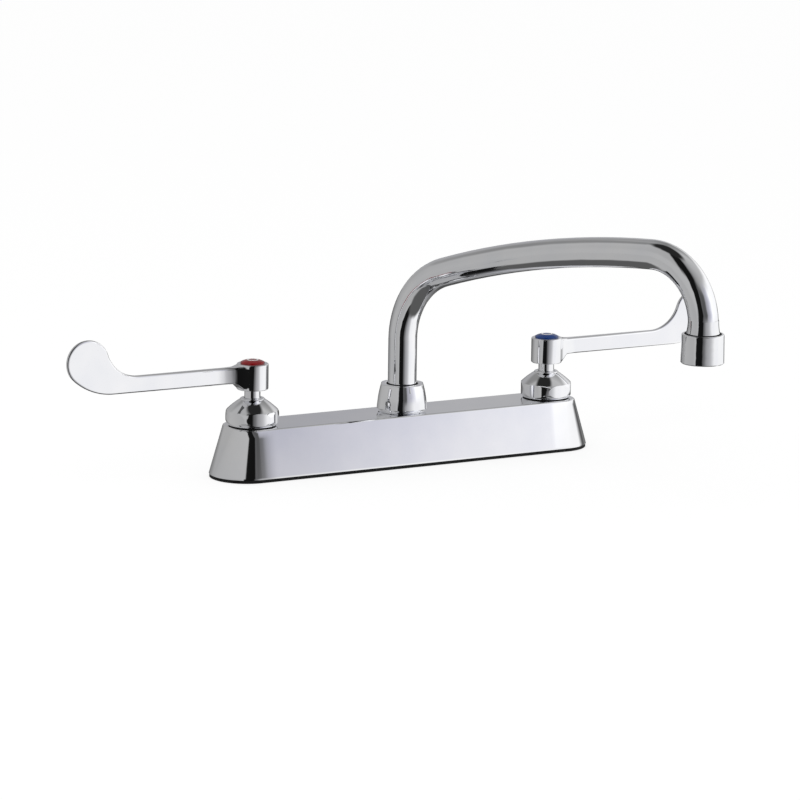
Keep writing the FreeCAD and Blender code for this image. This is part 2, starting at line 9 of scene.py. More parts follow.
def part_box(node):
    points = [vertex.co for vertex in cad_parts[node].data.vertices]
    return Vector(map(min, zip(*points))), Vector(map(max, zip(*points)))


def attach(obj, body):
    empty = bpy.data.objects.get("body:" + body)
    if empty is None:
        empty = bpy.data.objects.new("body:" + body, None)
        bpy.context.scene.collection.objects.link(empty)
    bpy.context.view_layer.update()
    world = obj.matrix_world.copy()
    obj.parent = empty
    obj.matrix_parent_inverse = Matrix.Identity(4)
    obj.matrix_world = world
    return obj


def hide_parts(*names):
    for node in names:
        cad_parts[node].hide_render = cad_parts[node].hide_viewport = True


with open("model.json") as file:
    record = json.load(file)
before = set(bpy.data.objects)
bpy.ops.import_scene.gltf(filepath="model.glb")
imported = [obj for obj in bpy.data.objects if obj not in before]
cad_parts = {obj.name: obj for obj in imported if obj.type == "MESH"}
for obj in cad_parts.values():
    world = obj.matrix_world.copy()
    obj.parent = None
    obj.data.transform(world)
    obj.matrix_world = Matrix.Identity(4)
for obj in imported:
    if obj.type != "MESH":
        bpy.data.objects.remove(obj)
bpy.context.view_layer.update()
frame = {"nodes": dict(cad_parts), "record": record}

scene = bpy.context.scene
scene.view_settings.view_transform = "Standard"
mm = 0.001

# the curve between a written colour and the light that it stands for
colourCurve = {"knee": 0.04045, "slope": 12.92, "offset": 0.055, "power": 2.4}


def toLinear(hexColour):
    s = colourCurve
    values = []
    for start in (1, 3, 5):          # two digits each for red, green and blue
        share = int(hexColour[start:start + 2], 16) / 255
        if share <= s["knee"]:
            values.append(share / s["slope"])
        else:
            values.append(((share + s["offset"]) / (1 + s["offset"])) ** s["power"])
    return (*values, 1.0)


def grey(level, blue=0.0):
    # linear grey with a slight cool cast
    return (level * (1 - blue), level * (1 - blue), level, 1.0)


def smooth(share):
    share = min(max(share, 0), 1)
    return share * share * (3 - 2 * share)


def addNode(tree, kind, settings=None, links=None):
    # settings: attribute or input values; links: input name or index -> output socket
    node = tree.nodes.new(kind)
    for key, value in (settings or {}).items():
        if isinstance(key, int):
            node.inputs[key].default_value = value
        elif hasattr(node, key) and key not in node.inputs:
            setattr(node, key, value)
        else:
            node.inputs[key].default_value = value
    for key, socket in (links or {}).items():
        tree.links.new(socket, node.inputs[key])
    return node


def fillRamp(ramp, stops):
    # stops: (place 0 to 1, colour) in order
    elements = ramp.color_ramp.elements
    while len(elements) > 1:
        elements.remove(elements[-1])
    elements[0].position = stops[0][0]
    elements[0].color = stops[0][1]
    for place, colour in stops[1:]:
        elements.new(place).color = colour


def emptyMaterial(name):
    material = bpy.data.materials.new(name)
    material.use_nodes = True
    material.node_tree.nodes.clear()
    return material, material.node_tree


def linkPiece(name, mesh, material=None):
    if material:
        mesh.materials.clear()
        mesh.materials.append(material)
    piece = bpy.data.objects.new(name, mesh)
    scene.collection.objects.link(piece)
    return piece


# Camera: a long lens from the front left, a little above the deck
cameraView = {
    "azimuth": 29.05,            # degrees to the left of straight in front
    "elevation": 10.86,
    "roll": 0.83,
    "distance": 2.5,
    "target": (0.0, 0.0, 0.060),
    "sensor": 36.0,
    "lens": 185.9,
    "shift": (-0.0030, -0.0461),
    "clipEnd": 50,
}


def makeCamera(s):
    az, el = math.radians(s["azimuth"]), math.radians(s["elevation"])
    forward = Vector((math.sin(az) * math.cos(el), math.cos(az) * math.cos(el), -math.sin(el)))
    data = bpy.data.cameras.new("photoCamera")
    data.sensor_width = s["sensor"]
    data.lens = s["lens"]
    data.shift_x, data.shift_y = s["shift"]
    data.clip_end = s["clipEnd"]
    camera = bpy.data.objects.new("photoCamera", data)
    turn = forward.to_track_quat("-Z", "Y").to_matrix().to_4x4()
    turn = turn @ Matrix.Rotation(math.radians(s["roll"]), 4, "Z")
    camera.matrix_world = Matrix.Translation(Vector(s["target"]) - forward * s["distance"]) @ turn
    scene.collection.objects.link(camera)
    scene.camera = camera


# Plain white surroundings; the camera, metal and glass all see them as white
surroundings = {"white": 1.0, "fill": 0.92}


def makeWorld(s):
    world = bpy.data.worlds.new("whiteSurroundings")
    scene.world = world
    world.use_nodes = True
    tree = world.node_tree
    tree.nodes.clear()
    light = addNode(tree, "ShaderNodeLightPath")
    seen = addNode(tree, "ShaderNodeMath", {"operation": "MAXIMUM"},
                   {0: light.outputs["Is Camera Ray"], 1: light.outputs["Is Glossy Ray"]})
    clear = addNode(tree, "ShaderNodeMath", {"operation": "MAXIMUM"},
                    {0: seen.outputs[0], 1: light.outputs["Is Transmission Ray"]})
    fill = addNode(tree, "ShaderNodeBackground", {"Color": grey(1.0), "Strength": s["fill"]})
    white = addNode(tree, "ShaderNodeBackground", {"Color": grey(1.0), "Strength": s["white"]})
    both = addNode(tree, "ShaderNodeMixShader",
                   links={0: clear.outputs[0], 1: fill.outputs[0], 2: white.outputs[0]})
    addNode(tree, "ShaderNodeOutputWorld", links={"Surface": both.outputs[0]})


# Studio tent round the faucet, seen only in the chrome: white to the right, grey to the
# left and behind, with the dark gap that the camera looks through, dark above and below
tent = {
    "radius": 0.9,
    "centre": (0.0, 0.0, 0.06),
    "subdivisions": 5,
    # (elevation, bearing of the dark gap's middle from -Y, positive to the right), degrees
    "gapBearing": [(-90, -38), (-11.5, -38), (-9.2, -37), (90, -37)],
    # walls: (degrees to the right of the gap's middle, level, blueness), 32 stops at most
    "lowWall": [
        (-180, 0.07, 0), (-160, 0.08, 0), (-145, 0.14, 0), (-130, 0.24, 0), (-105, 0.39, 0),
        (-90, 0.45, 0), (-60, 0.43, 0), (-32, 0.42, 0), (-18, 0.48, 0), (-15.5, 0.008, 0),
        (13, 0.006, 0), (18, 0.12, 0.02), (24, 0.18, 0.03), (30, 0.31, 0.03), (35, 0.38, 0.03),
        (41, 0.43, 0.03), (46, 0.49, 0.03), (50, 0.54, 0.02), (54, 0.64, 0.02), (58, 0.75, 0.02),
        (62, 0.86, 0.01), (66, 0.95, 0.01), (79, 0.97, 0.02), (90, 1.0, 0), (130, 1.0, 0),
        (139, 0.45, 0), (146, 0.12, 0), (154, 0.10, 0), (162, 0.22, 0), (170, 0.16, 0),
        (180, 0.07, 0),
    ],
    "highWall": [
        (-180, 0.45, 0.03), (-175.5, 0.46, 0.03), (-167.5, 0.42, 0.06), (-163.5, 0.40, 0.03),
        (-151.5, 0.40, 0.02), (-128.5, 0.38, 0), (-105, 0.42, 0), (-75, 0.45, 0),
        (-40, 0.47, 0), (-20, 0.48, 0), (-14, 0.47, 0), (-11, 0.008, 0),
        (16, 0.006, 0), (18.6, 0.11, 0.03), (22, 0.11, 0.03), (27, 0.09, 0.02),
        (38, 0.10, 0.02), (41, 0.15, 0.04), (43.2, 0.27, 0.07), (45.6, 0.39, 0.09),
        (51.2, 0.50, 0.11), (59.5, 0.61, 0.115), (61.8, 0.69, 0.105), (65.5, 0.775, 0.10),
        (69.1, 0.885, 0.06), (72.5, 0.96, 0.06), (74, 1.13, 0.03), (76.5, 1.15, 0.01),
        (136.5, 1.04, 0), (156.5, 0.70, 0), (176.5, 0.50, 0.03), (180, 0.49, 0.03),
    ],
    "upperWall": [
        (-180, 0.28, 0), (-165, 0.32, 0), (-152, 0.33, 0), (-146, 0.26, 0), (-126, 0.25, 0),
        (-118, 0.30, 0), (-110, 0.42, 0), (-104, 0.45, 0), (-60, 0.42, 0), (-26, 0.40, 0),
        (-20, 0.008, 0), (20, 0.006, 0), (26, 0.15, 0), (34, 0.28, 0), (50, 0.36, 0),
        (75, 0.45, 0), (118, 0.52, 0), (140, 0.34, 0), (165, 0.22, 0), (180, 0.28, 0),
    ],
    "roof": 0.02,
    "ground": 0.10,
    "groundToLow": (-50, -40),   # elevations between which one band gives way to the next
    "lowToHigh": (-3, 7),
    "highToUpper": (24, 42),
    "upperToRoof": (64, 74),
}
quarterTurn, halfTurn, fullTurn = 90.0, 180.0, 360.0   # degrees


def tentWalls(s):
    material, tree = emptyMaterial("studioTentCloth")
    coords = addNode(tree, "ShaderNodeTexCoord")
    toPoint = addNode(tree, "ShaderNodeVectorMath", {"operation": "SUBTRACT", 1: s["centre"]},
                      {0: coords.outputs["Object"]})
    way = addNode(tree, "ShaderNodeVectorMath", {"operation": "NORMALIZE"}, {0: toPoint.outputs[0]})
    axes = addNode(tree, "ShaderNodeSeparateXYZ", links={0: way.outputs[0]})
    rise = addNode(tree, "ShaderNodeMath", {"operation": "ARCSINE"}, {0: axes.outputs["Z"]})
    elevation = addNode(tree, "ShaderNodeMath", {"operation": "DEGREES"}, {0: rise.outputs[0]})
    front = addNode(tree, "ShaderNodeMath", {"operation": "MULTIPLY", 1: -1.0}, {0: axes.outputs["Y"]})
    turn = addNode(tree, "ShaderNodeMath", {"operation": "ARCTAN2"},
                   {0: axes.outputs["X"], 1: front.outputs[0]})
    bearing = addNode(tree, "ShaderNodeMath", {"operation": "DEGREES"}, {0: turn.outputs[0]})
    # the bearing is counted from the gap's middle, which shifts with the elevation
    height = addNode(tree, "ShaderNodeMapRange", {"From Min": -quarterTurn, "From Max": quarterTurn},
                     {"Value": elevation.outputs[0]})
    gap = addNode(tree, "ShaderNodeValToRGB", links={0: height.outputs[0]})
    gap.color_ramp.interpolation = "EASE"
    fillRamp(gap, [((up + quarterTurn) / halfTurn, grey(-middle / quarterTurn))
                   for up, middle in s["gapBearing"]])
    fromGap = addNode(tree, "ShaderNodeMath", {"operation": "MULTIPLY_ADD", 1: quarterTurn},
                      {0: gap.outputs[0], 2: bearing.outputs[0]})
    wrapped = addNode(tree, "ShaderNodeMath", {"operation": "WRAP", 1: halfTurn, 2: -halfTurn},
                      {0: fromGap.outputs[0]})
    place = addNode(tree, "ShaderNodeMapRange", {"From Min": -halfTurn, "From Max": halfTurn},
                    {"Value": wrapped.outputs[0]})
    colours = {}
    for name in ("lowWall", "highWall", "upperWall"):
        wall = addNode(tree, "ShaderNodeValToRGB", links={0: place.outputs[0]})
        fillRamp(wall, [((turned + halfTurn) / fullTurn, grey(level, blue))
                        for turned, level, blue in s[name]])
        colours[name] = wall.outputs[0]
    for name in ("ground", "roof"):
        plain = addNode(tree, "ShaderNodeRGB")
        plain.outputs[0].default_value = grey(s[name])
        colours[name] = plain.outputs[0]
    colour = colours["ground"]
    for edges, above in (("groundToLow", "lowWall"), ("lowToHigh", "highWall"),
                         ("highToUpper", "upperWall"), ("upperToRoof", "roof")):
        share = addNode(tree, "ShaderNodeMapRange", {
            "interpolation_type": "SMOOTHSTEP", "From Min": s[edges][0], "From Max": s[edges][1]},
            {"Value": elevation.outputs[0]})
        # sockets 6, 7 and 2 are a Mix node's colours
        blend = addNode(tree, "ShaderNodeMix", {"data_type": "RGBA"},
                        {0: share.outputs[0], 6: colour, 7: colours[above]})
        colour = blend.outputs[2]
    glow = addNode(tree, "ShaderNodeEmission", {"Strength": 1.0}, {"Color": colour})
    addNode(tree, "ShaderNodeOutputMaterial", links={"Surface": glow.outputs[0]})
    return material


def makeTent(s):
    form = bmesh.new()
    bmesh.ops.create_icosphere(form, subdivisions=s["subdivisions"], radius=s["radius"],
                               matrix=Matrix.Translation(Vector(s["centre"])))
    mesh = bpy.data.meshes.new("studioTent")
    form.to_mesh(mesh)
    form.free()
    mesh.shade_smooth()
    cloth = linkPiece("studioTent", mesh, tentWalls(s))
    for ray in ("camera", "diffuse", "shadow", "transmission", "volume_scatter"):
        setattr(cloth, "visible_" + ray, False)


floorLook = {"size": 6.0, "height": -0.0003, "paint": "#F4F4F4", "lift": 0.80}


def makeFloor(s):
    mesh = bpy.data.meshes.new("paperFloor")
    half = s["size"] / 2
    mesh.from_pydata([(-half, -half, s["height"]), (half, -half, s["height"]),
                      (half, half, s["height"]), (-half, half, s["height"])], [], [(0, 1, 2, 3)])
    paper, tree = emptyMaterial("whiteBackdropPaper")
    # the camera sees nearly white paper; the object's shadow still darkens it
    light = addNode(tree, "ShaderNodeLightPath")
    plain = addNode(tree, "ShaderNodeBsdfDiffuse", {"Color": toLinear(s["paint"])})
    faint = addNode(tree, "ShaderNodeBsdfDiffuse", {"Color": grey(1 - s["lift"])})
    glow = addNode(tree, "ShaderNodeEmission", {"Color": grey(1.0), "Strength": s["lift"]})
    shown = addNode(tree, "ShaderNodeAddShader", links={0: faint.outputs[0], 1: glow.outputs[0]})
    both = addNode(tree, "ShaderNodeMixShader",
                   links={0: light.outputs["Is Camera Ray"], 1: plain.outputs[0], 2: shown.outputs[0]})
    addNode(tree, "ShaderNodeOutputMaterial", links={"Surface": both.outputs[0]})
    floor = linkPiece("paperFloor", mesh, paper)
    floor.visible_glossy = False   # the tent carries on below the deck in the reflections


softbox = {"place": (-0.9, -1.2, 1.6), "aim": (0, 0, 0.05), "size": 1.4, "power": 9.0}


def makeLamp(s):
    data = bpy.data.lights.new("keySoftbox", "AREA")
    data.size = s["size"]
    data.energy = s["power"]
    light = bpy.data.objects.new("keySoftbox", data)
    light.location = s["place"]
    light.rotation_euler = (Vector(s["aim"]) - light.location).to_track_quat("-Z", "Y").to_euler()
    light.visible_glossy = False
    scene.collection.objects.link(light)


# Finishes. Sizes are in mm: tintSize of the blotches between the two colours, roughSize of those between
# two values of roughness, reliefSize and reliefDepth of the fine unevenness, latheSpacing of turned lines
usualDetail = 3.0                # octaves of a noise texture, where a finish gives none
noiseSpan = (0.3, 0.7)           # nearly all of a noise texture's values lie between these
waveSpacing = math.pi / 10       # line spacing of a wave texture at scale 1
moulded = {"tintSize": 5, "reliefSize": 1.2, "reliefDepth": 0.008}
finishLooks = {
    # bright decorative chrome plate on buffed brass: mirror clear, cool white, faint cloudiness from buffing
    "polished_chrome": {"name": "polishedChrome", "metallic": 1.0,
                        "colours": ("#F1F2F5", "#F8F8F9"), "tintSize": 22, "tintDetail": 4.0,
                        "roughness": (0.025, 0.055), "roughSize": 3.0,
                        "reliefSize": 14, "reliefDetail": 1.0, "reliefDepth": 0.012},
    # turned brass bar: warm yellow, fine lathe lines
    "bare_brass": {"name": "machinedBrass", "metallic": 1.0,
                   "colours": ("#C9A24E", "#DDBD6A"), "tintSize": 6, "roughness": 0.24,
                   "latheSpacing": 0.9865, "latheWaver": 0.4, "reliefDepth": 0.02},
    # plain stainless screw and wire: grey, fine grain
    "stainless_steel": {"name": "stainlessSteel", "metallic": 1.0, "colours": ("#C2C2C4",),
                        "roughness": (0.24, 0.36), "roughSize": 0.8},
    # moulded EPDM: nearly black, matt, slightly dusty grain
    "black_rubber": {"name": "blackRubber", "colours": ("#0A0A0B", "#131315"), "tintSpan": (0.35, 0.7),
                     "tintSize": 9, "tintDetail": 5.0, "roughness": 0.7, "specular": 0.3,
                     "reliefSize": 0.5, "reliefDepth": 0.03},
    # lapped alumina valve disc: creamy white, satin
    "white_ceramic": {"name": "lappedAlumina", "colours": ("#ECEAE2", "#F5F3EC"), "tintSize": 2,
                      "roughness": 0.28},
    # injection moulded washer, insert and caps: even colour, soft gloss, very slight ripple
    "white_nylon": {"name": "whiteNylon", "colours": ("#E4E2DC", "#EFEDE8"), "roughness": 0.45, **moulded},
    "grey_plastic": {"name": "greyAcetal", "colours": ("#8E9092", "#9C9EA0"), "roughness": 0.42, **moulded},
    "red_plastic": {"name": "redAcrylic", "colours": ("#6A0B0D", "#801218"), "roughness": 0.16, **moulded},
    "blue_plastic": {"name": "blueAcrylic", "colours": ("#0C2C64", "#143A78"), "roughness": 0.16, **moulded},
}


def makeFinish(s):
    material, tree = emptyMaterial(s["name"])
    shader = addNode(tree, "ShaderNodeBsdfPrincipled", {"Metallic": s.get("metallic", 0.0)})
    addNode(tree, "ShaderNodeOutputMaterial", links={"Surface": shader.outputs[0]})
    coords = addNode(tree, "ShaderNodeTexCoord").outputs["Object"]
    colours = [toLinear(colour) for colour in s["colours"]]
    if "tintSize" in s:
        cloud = addNode(tree, "ShaderNodeTexNoise", {
            "Scale": 1 / (s["tintSize"] * mm), "Detail": s.get("tintDetail", usualDetail)},
            {"Vector": coords})
        tint = addNode(tree, "ShaderNodeValToRGB", links={0: cloud.outputs[0]})
        fillRamp(tint, list(zip(s.get("tintSpan", noiseSpan), colours)))
        tree.links.new(tint.outputs[0], shader.inputs["Base Color"])
    else:
        shader.inputs["Base Color"].default_value = colours[0]
    if "roughSize" in s:
        marks = addNode(tree, "ShaderNodeTexNoise", {
            "Scale": 1 / (s["roughSize"] * mm), "Detail": usualDetail}, {"Vector": coords})
        rough = addNode(tree, "ShaderNodeMapRange", {
            "From Min": noiseSpan[0], "From Max": noiseSpan[1],
            "To Min": s["roughness"][0], "To Max": s["roughness"][1]}, {"Value": marks.outputs[0]})
        tree.links.new(rough.outputs[0], shader.inputs["Roughness"])
    else:
        shader.inputs["Roughness"].default_value = s["roughness"]
    if "specular" in s:
        shader.inputs["Specular IOR Level"].default_value = s["specular"]
    if "reliefDepth" in s:
        if "latheSpacing" in s:
            relief = addNode(tree, "ShaderNodeTexWave", {
                "bands_direction": "Z", "Scale": waveSpacing / (s["latheSpacing"] * mm),
                "Distortion": s["latheWaver"]}, {"Vector": coords})
        else:
            relief = addNode(tree, "ShaderNodeTexNoise", {
                "Scale": 1 / (s["reliefSize"] * mm), "Detail": s.get("reliefDetail", usualDetail)},
                {"Vector": coords})
        bump = addNode(tree, "ShaderNodeBump", {"Strength": 1.0, "Distance": s["reliefDepth"] * mm},
                       {"Height": relief.outputs[0]})
        tree.links.new(bump.outputs[0], shader.inputs["Normal"])
    return material


finishes = {slot: makeFinish(look) for slot, look in finishLooks.items()}


def dressNodes():
    for part in frame["record"]["subparts"]:
        node = frame["nodes"][part["node"]]
        node.data.materials.clear()
        node.data.materials.append(finishes[part["material_slot"]])


# Polished pieces: the node's own form with its facets blended, so reflections run smoothly
polished = {                     # node: piece, body, angle in degrees above which an edge stays sharp
    "faucet_body": ("castBody", "body", 14),
    "spout_nut": ("swivelNut", "body", 12),
    "hot_bonnet": ("hotBonnetDome", "body", 12),
    "cold_bonnet": ("coldBonnetDome", "body", 12),
    "hot_lever": ("hotWristBlade", "hot_handle", 14),
    "cold_lever": ("coldWristBlade", "cold_handle", 14),
    "hot_stem": ("hotStemPolished", "hot_handle", 20),
    "cold_stem": ("coldStemPolished", "cold_handle", 20),
    "spout_tube": ("spoutTubePolished", "spout", 20),
    "outlet_adaptor": ("tubeFlare", "spout", 14),
    "aerator_shell": ("aeratorHousing", "spout", 14),
    "hot_index_button": ("hotButtonCap", "hot_handle", 20),
    "cold_index_button": ("coldButtonCap", "cold_handle", 20),
}
polishing = {
    "weld": 0.002,               # mm, corners closer than this are one
    "cutSnap": 0.001,            # mm, a cut this near to a corner goes through it
    "flatWeight": 60,            # how far the larger faces rule the blended shading
    "facing": 0.85,              # a corner takes a normal only this near to its face's own, as a cosine
}


def cutFaces(piece, planes):
    form = bmesh.new()
    form.from_mesh(piece.data)
    for place, way in planes:
        bmesh.ops.bisect_plane(form, geom=form.verts[:] + form.edges[:] + form.faces[:],
                               dist=polishing["cutSnap"] * mm, plane_co=place, plane_no=way)
    bmesh.ops.triangulate(form, faces=form.faces[:])
    form.to_mesh(piece.data)
    form.free()


def turnNormals(piece, turned):
    # the modifiers' result becomes the mesh, and each corner takes the normal that turned gives it
    bpy.context.view_layer.update()
    mesh = bpy.data.meshes.new_from_object(piece.evaluated_get(bpy.context.evaluated_depsgraph_get()))
    normals = [loop.vector.copy() for loop in mesh.corner_normals]
    for face in mesh.polygons:
        for corner in face.loop_indices:
            wanted = turned(mesh.vertices[mesh.loops[corner].vertex_index].co, normals[corner])
            if wanted.dot(face.normal) > polishing["facing"]:
                normals[corner] = wanted
    mesh.normals_split_custom_set(normals)
    piece.modifiers.clear()
    piece.data = mesh


def nodeBounds(node):
    corners = [vertex.co for vertex in frame["nodes"][node].data.vertices]
    low = Vector([min(c[axis] for c in corners) for axis in range(3)])
    high = Vector([max(c[axis] for c in corners) for axis in range(3)])
    return low, high


bodyWalls = {                    # the cast body's tapered sides, mm
    "low": 2.0, "high": 29.4,    # above the deck, between the gasket and the rounded top edge
    "length": (255.0, 234.2),    # at the foot and at the top face
    "width": (44.4, 33.4),
    "corner": (21.8, 11.4),
    "fullHeight": 28.8,
    "cornerTurn": 8.25,          # degrees that the long side has turned by where the corner starts
    "turnStart": 11.7,           # mm before the corner over which it turns
    "turnEnd": (50, 90),         # degrees round the corner between which that extra turn fades out
    "turnCuts": 6,
    "rows": 8,
    "footRoll": 0.9,             # height over which the foot's edge is buffed under
    "footLean": 0.38,
    "reach": 0.2,                # how far a tessellated point may lie from the true wall
    "slack": 0.01,               # share of the height that counts as wall beyond its ends
}


def wallNormal(point, s):
    # outward normal of the tapered wall at a point, or None away from it
    share = (point.z / mm - s["low"]) / s["fullHeight"]
    if not -s["slack"] < share < (s["high"] - s["low"]) / s["fullHeight"] + s["slack"]:
        return None
    length, width, corner = [s[key][0] + (s[key][1] - s[key][0]) * share
                             for key in ("length", "width", "corner")]
    across = Vector((abs(point.x) / mm - length / 2 + corner, abs(point.y) / mm - width / 2 + corner))
    outside = Vector((max(across.x, 0), max(across.y, 0)))
    if abs(outside.length - corner) > s["reach"]:
        return None
    turn = math.degrees(math.atan2(outside.x, outside.y))   # from the front or back
    fade = smooth((turn - s["turnEnd"][0]) / (s["turnEnd"][1] - s["turnEnd"][0]))
    turn += s["cornerTurn"] * (smooth(1 + across.x / s["turnStart"]) - fade)
    way = Vector((math.sin(math.radians(turn)), math.cos(math.radians(turn))))
    lean = [(s[key][0] - s[key][1]) / s["fullHeight"] for key in ("length", "width", "corner")]
    rise = (lean[0] / 2 - lean[2]) * way.x + (lean[1] / 2 - lean[2]) * way.y + lean[2]
    rise -= s["footLean"] * max(0, 1 - (point.z / mm - s["low"]) / s["footRoll"])
    side = Vector((math.copysign(way.x, point.x), math.copysign(way.y, point.y), rise))
    return side.normalized()


def trueWalls(piece, s):
    # rows of vertices up the walls, then the walls' own normals in place of the facets'
    heights = [s["low"] + (s["high"] - s["low"]) * k / s["rows"] for k in range(1, s["rows"])]
    corner = s["length"][0] / 2 - s["corner"][0]
    ends = [corner - s["turnStart"] * k / s["turnCuts"] for k in range(s["turnCuts"] + 1)]
    cutFaces(piece, [((0, 0, height * mm), (0, 0, 1)) for height in [s["low"] + s["footRoll"]] + heights]
             + [((side * far * mm, 0, 0), (1, 0, 0)) for side in (-1, 1) for far in ends])
    turnNormals(piece, lambda point, normal: wallNormal(point, s) or normal)


buffedFlats = {                  # how far buffing has rounded each nut's flats, and the cuts that carry it
    "share": {"spout_nut": 0.6, "hot_bonnet": 0.6, "cold_bonnet": 0.6},
    "rows": 8, "spokes": 18,
    "level": 0.3,                # a side's normal has at least this much of its length level
    "outward": 0.7,              # and points away from the axis this nearly, as a cosine
}


def crownFlats(piece, node, s):
    low, high = nodeBounds(node)
    centre = (low + high) / 2
    spokes = [math.pi * k / s["spokes"] for k in range(s["spokes"])]
    cutFaces(piece, [(low.lerp(high, k / s["rows"]), (0, 0, 1)) for k in range(1, s["rows"])]
             + [(centre, (math.cos(turn), math.sin(turn), 0)) for turn in spokes])

    def turned(point, normal):
        outward = Vector((point.x - centre.x, point.y - centre.y, 0)).normalized()
        level = Vector((normal.x, normal.y, 0))
        if level.length < s["level"] or level.normalized().dot(outward) < s["outward"]:
            return normal        # top, foot and bore
        level = level.normalized().lerp(outward, s["share"][node]).normalized() * level.length
        return Vector((level.x, level.y, normal.z))

    turnNormals(piece, turned)


leverBlade = {                   # each blade thins from the hub's side to the paddle, mm from the valve axis
    "start": 28.0, "end": 112.0,
    "tip": 0.5,                  # share of the thickness left at the paddle
    "cuts": 14,
    "turn": {"hot_lever": 8.5},  # degrees: the flat faces shine as if the blade stood a little forward
    "slack": 0.1,                # mm, so that the corners on the first cut turn too
}


def thinPaddle(piece, node, s):
    low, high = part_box(node.replace("lever", "stem"))
    axis = (low[0] + high[0]) / 2
    side = 1 if axis > 0 else -1
    reach = [s["start"] + (s["end"] - s["start"]) * k / s["cuts"] for k in range(s["cuts"] + 1)]
    cutFaces(piece, [((axis + side * far * mm, 0, 0), (1, 0, 0)) for far in reach])
    for vertex in piece.data.vertices:
        far = (abs(vertex.co.x - axis) / mm - s["start"]) / (s["end"] - s["start"])
        if (vertex.co.x - axis) * side > 0 and far > 0:
            vertex.co.y *= 1 - (1 - s["tip"]) * smooth(far)
    if node in s["turn"]:
        spin = Matrix.Rotation(math.radians(s["turn"][node]), 3, "Z")
        turnNormals(piece, lambda point, normal: spin @ normal
                    if (point.x - axis) * side > (s["start"] - s["slack"]) * mm else normal)


tubeFlare = {                    # the soldered joint above the outlet housing is wiped smooth
    "lean": 0.15,                # share of its slope that the shading keeps
    "ends": 0.5,                 # a normal that rises or falls by more belongs to its ends
}


def wipeFlare(piece, s):
    turnNormals(piece, lambda point, normal: Vector((normal.x, normal.y, normal.z * s["lean"])).normalized()
                if abs(normal.z) < s["ends"] else normal)


def polishNode(node, name, body, angle):
    mesh = frame["nodes"][node].data.copy()
    form = bmesh.new()
    form.from_mesh(mesh)
    bmesh.ops.remove_doubles(form, verts=form.verts, dist=polishing["weld"] * mm)
    form.to_mesh(mesh)
    form.free()
    for attribute in ("custom_normal", "sharp_face", "sharp_edge"):
        if attribute in mesh.attributes:
            mesh.attributes.remove(mesh.attributes[attribute])
    mesh.shade_smooth()
    mesh.set_sharp_from_angle(angle=math.radians(angle))
    piece = linkPiece(name, mesh)
    weighted = piece.modifiers.new("weighted", "WEIGHTED_NORMAL")
    weighted.keep_sharp = True
    weighted.weight = polishing["flatWeight"]
    if node == "faucet_body":
        trueWalls(piece, bodyWalls)
    if node in buffedFlats["share"]:
        crownFlats(piece, node, buffedFlats)
    if node.endswith("_lever"):
        thinPaddle(piece, node, leverBlade)
    if node == "outlet_adaptor":
        wipeFlare(piece, tubeFlare)
    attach(piece, body)
    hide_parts(node)


def geometryTree(name, inputs):
    # inputs: (label, starting value); the tree gets one geometry output
    tree = bpy.data.node_groups.new(name, "GeometryNodeTree")
    tree.interface.new_socket("Geometry", in_out="OUTPUT", socket_type="NodeSocketGeometry")
    for label, value in inputs:
        kind = "NodeSocketInt" if isinstance(value, int) else "NodeSocketFloat"
        tree.interface.new_socket(label, in_out="INPUT", socket_type=kind).default_value = value
    return tree, tree.nodes.new("NodeGroupInput"), tree.nodes.new("NodeGroupOutput")


def finishTree(tree, out, geometry, material):
    whole = addNode(tree, "GeometryNodeRealizeInstances", links={0: geometry})
    coat = addNode(tree, "GeometryNodeSetMaterial", {"Material": material}, {"Geometry": whole.outputs[0]})
    tree.links.new(coat.outputs[0], out.inputs[0])


def growPiece(name, tree, values, place):
    # runs the tree on an empty mesh and keeps the plain result, moved to its place
    seed = linkPiece(name + "Seed", bpy.data.meshes.new(name + "Seed"))
    grow = seed.modifiers.new("grow", "NODES")
    grow.node_group = tree
    for item in tree.interface.items_tree:
        if item.in_out == "INPUT" and item.name in values:
            grow[item.identifier] = values[item.name]
    ready = seed.evaluated_get(bpy.context.evaluated_depsgraph_get())
    mesh = bpy.data.meshes.new_from_object(ready)
    seed.modifiers.remove(grow)
    bpy.data.objects.remove(seed)
    mesh.transform(Matrix.Translation(place))
    mesh.name = name
    return mesh


# Inlet threads: one helical ridge inside each supply inlet, seen from below, sizes in mm
inletThread = {"pitch": 1.814, "depth": 0.55, "start": 0.6, "perTurn": 48, "sides": 4}


def threadTree(s, material):
    tree, inputs, out = geometryTree("helicalThread", [
        ("Turns", 5.0), ("Radius", 0.0096), ("Height", 0.009), ("Ridge", 0.0005)])
    helix = addNode(tree, "GeometryNodeCurveSpiral", {"Resolution": s["perTurn"]}, {
        "Rotations": inputs.outputs["Turns"], "Start Radius": inputs.outputs["Radius"],
        "End Radius": inputs.outputs["Radius"], "Height": inputs.outputs["Height"]})
    upright = addNode(tree, "GeometryNodeSetCurveNormal", {"mode": "Z_UP"}, {0: helix.outputs[0]})
    ridge = addNode(tree, "GeometryNodeCurvePrimitiveCircle", {"Resolution": s["sides"]},
                    {"Radius": inputs.outputs["Ridge"]})
    thread = addNode(tree, "GeometryNodeCurveToMesh", {"Fill Caps": True},
                     {0: upright.outputs[0], 1: ridge.outputs[0]})
    finishTree(tree, out, thread.outputs[0], material)
    return tree


